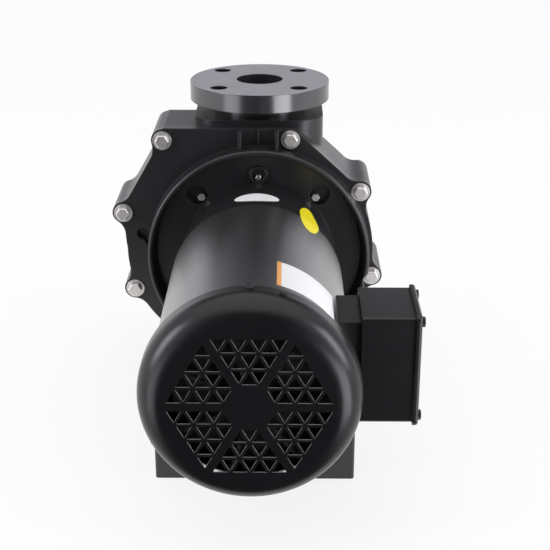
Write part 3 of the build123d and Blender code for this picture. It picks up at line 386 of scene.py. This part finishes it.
# Windings. Enamelled copper wire wound through the slots of the stack. The ends that stand
# out at both sides are laced together and dipped in varnish.
windings = Finish("dipped_copper", Metallic=0.6)
wire = windings.radius(shaft_centre).ripple(0.0011)
dip = windings.noise(0.006, 3.0, 0.6)
windings.set(Base_Color=windings.tint(wire * 0.5 + dip * 0.5, (0.20, 0.07, 0.02), (0.56, 0.25, 0.09)))
windings.set(Roughness=dip * 0.3 + 0.25)
windings.relief(wire, 0.0002)
dress(windings, "stator_windings")


# Motor shell. Rolled steel tube, sprayed satin black with a clear coat over it, so the
# paint has a slight orange peel and its gloss changes a little from place to place.
def sprayed_paint(name, dark, light, rough, peel=0.0022, depth=0.000035, edge=0.0009, painted_highlight=None):
    """Sprayed paint: rounded peel, broad change of gloss and faint settled dust.

    The last argument, a function, gives for this finish 1 where a pale grey painted highlight takes
    the place of the paint's colour.
    """
    finish = Finish(name)
    skin = finish.noise(peel, 1.0, 0.4)
    coat = finish.noise(0.06, 2.0, 0.5)
    dust = finish.noise(0.0012, 3.0, 0.7).rise(0.62, 0.80)
    colour = finish.tint(coat * 0.6 + dust * 0.4, dark, light)
    # Pale grey painted highlight wherever the given function is 1.
    if painted_highlight:
        highlight_grey = (0.30, 0.30, 0.31)
        colour = finish.tint(painted_highlight(finish), colour, highlight_grey)
    finish.set(Base_Color=colour)
    finish.set(Roughness=coat * 0.10 + dust * 0.15 + (rough - 0.06))
    return finish.relief(skin, depth, edge)


shell_paint = sprayed_paint("shell_paint", (0.0065, 0.0065, 0.007), (0.010, 0.010, 0.011), 0.33)
shell_paint.set(Specular_IOR_Level=0.4, Coat_Weight=1.0, Coat_Roughness=0.33, Coat_IOR=1.6)
dress(shell_paint, "motor_shell")


# Two stickers on the motor, left blank, and a white patch of film on top of the drive end
# bell. Printed film, a tenth of a millimetre thick, rolled on round the shell or the end bell.
shell_radius = (shell_high.z - shell_low.z) / 2
bell_radius = 0.083             # of the drive end bell's plain part
film_lift = 0.00012             # outer side of a film above the paint


def rolled_film(name, turn, along, round_ends=0.0, lean=0.0, layer=1, slope=0.001):
    """Film on the motor, over a range of angles in degrees and one of lengths in metres.

    A square from -1 to 1 is squeezed to an ellipse where round_ends is 1 and left square
    where it is 0, then wrapped: x = r sin(angle), z = r cos(angle) above the shaft. Lean
    is how far the far end is turned on from the middle, in degrees. Past the shell's end,
    r falls evenly from the shell's radius to the bell's over the length of the slope.
    """
    u, v = np.meshgrid(np.linspace(-1, 1, 48), np.linspace(-1, 1, 40), indexing="ij")
    across = u * ((1 - round_ends) + round_ends * np.sqrt(1 - v * v / 2))
    length = v * ((1 - round_ends) + round_ends * np.sqrt(1 - u * u / 2))
    half_turn, half_length = (turn[1] - turn[0]) / 2, (along[1] - along[0]) / 2
    angle = np.radians(turn[0] + half_turn + across * half_turn + length * lean)
    y = along[0] + half_length + length * half_length
    fall = (shell_high.y + 0.0005, shell_high.y + slope)
    r = np.interp(y, fall, (shell_radius, bell_radius)) + layer * film_lift
    xyz = np.stack([r * np.sin(angle), y, shaft_height + r * np.cos(angle)], axis=-1)
    film = grid_piece(name, xyz)
    thick = film.modifiers.new("thickness", "SOLIDIFY")
    thick.thickness = film_lift * 0.8
    thick.offset = -1.0
    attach(film, "pump")
    return film


def printed_film(name, dark, light, rough=0.35):
    """Coated paper film: slight yellowing in clouds and a fine roller grain."""
    finish = Finish(name)
    cloud = finish.noise(0.012, 2.0, 0.6)
    grain = finish.noise(0.0009, 2.0, 0.6)
    finish.set(Base_Color=finish.tint(cloud * 0.7 + grain * 0.3, dark, light))
    finish.set(Roughness=grain * 0.12 + (rough - 0.06))
    return finish.relief(grain, 0.00001, 0.0001)


side_turn, side_along = (14.8, 54.5), (-0.1470, -0.0930)
white_film = printed_film("white_film", (0.72, 0.72, 0.71), (0.84, 0.84, 0.83))
side_label = rolled_film("side_label", side_turn, side_along)
side_label.data.materials.append(white_film.material)
stripe_turn = (side_turn[0] - 0.2, side_turn[0] + 2.4)
orange_film = printed_film("orange_film", (0.72, 0.30, 0.07), (0.82, 0.40, 0.13))
stripe = rolled_film("side_label_stripe", stripe_turn, side_along, layer=2)
stripe.data.materials.append(orange_film.material)
yellow_film = printed_film("yellow_film", (0.78, 0.66, 0.005), (0.86, 0.76, 0.012))
oval_turn, oval_along = (30.3, 46.1), (0.025, 0.105)
oval_label = rolled_film("oval_label", oval_turn, oval_along, round_ends=1.0, lean=0.8, slope=0.040)
oval_label.data.materials.append(yellow_film.material)
# A white oval of film across the top of the drive end bell, just past the shell's end.
top_turn, top_along = (-16.2, 15.8), (0.077, 0.101)
top_white_film = rolled_film("top_white_film", top_turn, top_along, round_ends=1.0)
top_white_film.data.materials.append(white_film.material)

# End bells. Die-cast aluminium under the same black paint, with the slight waviness of
# the casting showing through.
bell_paint = sprayed_paint("bell_paint", (0.007, 0.007, 0.008), (0.013, 0.013, 0.014), 0.34,
                           0.0035, 0.00008)
dress(bell_paint, "drive_end_bell", "fan_end_bell")

# Cooling fan. Black moulded plastic with straight blades, so that it works in either
# direction. It is pressed on the end of the shaft, under the fan cover.
fan_black = moulded_plastic("fan_plastic", (0.010, 0.010, 0.010), (0.018, 0.018, 0.019), 0.50)
dress(fan_black, "cooling_fan")


# Fan cover. Deep-drawn steel cap, punched with six sectors of triangles, sprayed satin
# black and held by small hexagon screws. The walls of the punched holes get a pale grey
# painted highlight, for the light that their edges catch.
def hole_wall_highlight(finish):
    """Signal that is 1 on the walls of the grille's holes, inside the cover's flat sheet, where the
    pale painted highlight goes.
    """
    sheet, edge_radius = 0.0016, 0.022
    low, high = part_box("fan_cover")
    flat_radius = (high.x - low.x) / 2 - edge_radius
    depth = finish.axis("y") - low.y
    inside = depth.rise(0.0001, 0.0004) * (1 - depth.rise(sheet - 0.0004, sheet - 0.0001))
    return inside * (1 - finish.radius(shaft_centre).rise(flat_radius, flat_radius + 0.001))


# The walls of the grille's holes get a pale grey painted highlight.
cover_paint = sprayed_paint("cover_paint", (0.0050, 0.0050, 0.0056), (0.0080, 0.0080, 0.0088), 0.29,
                            0.0016, 0.00003, 0.0008, hole_wall_highlight)
cover_paint.set(Specular_IOR_Level=0.42)
dress(cover_paint, "fan_cover")
blackened = bright_steel("blackened_steel", (0.018, 0.018, 0.019), (0.040, 0.040, 0.042), 0.36,
                         0.0016, metallic=0.4)
dress(blackened, "cover_screws", "lid_screws")

# Feet and riser. Pressed steel feet, painted like the bells, bolted down on a moulded
# riser with an arch through it. The riser's plastic is dull and a little paler.
dress(bell_paint, "motor_foot")
riser = moulded_plastic("riser_plastic", (0.030, 0.030, 0.030), (0.046, 0.045, 0.044), 0.52,
                        0.0013, 0.00007)
dress(riser, "base_riser")

# Conduit box. Pressed steel box and neck welded to the shell, with a gasket and a cast
# lid held by four screws, all sprayed with the motor.
box_paint = sprayed_paint("box_paint", (0.0065, 0.0065, 0.0072), (0.011, 0.011, 0.012), 0.32,
                          0.0020, 0.00005)
dress(box_paint, "conduit_neck", "conduit_box", "conduit_lid")
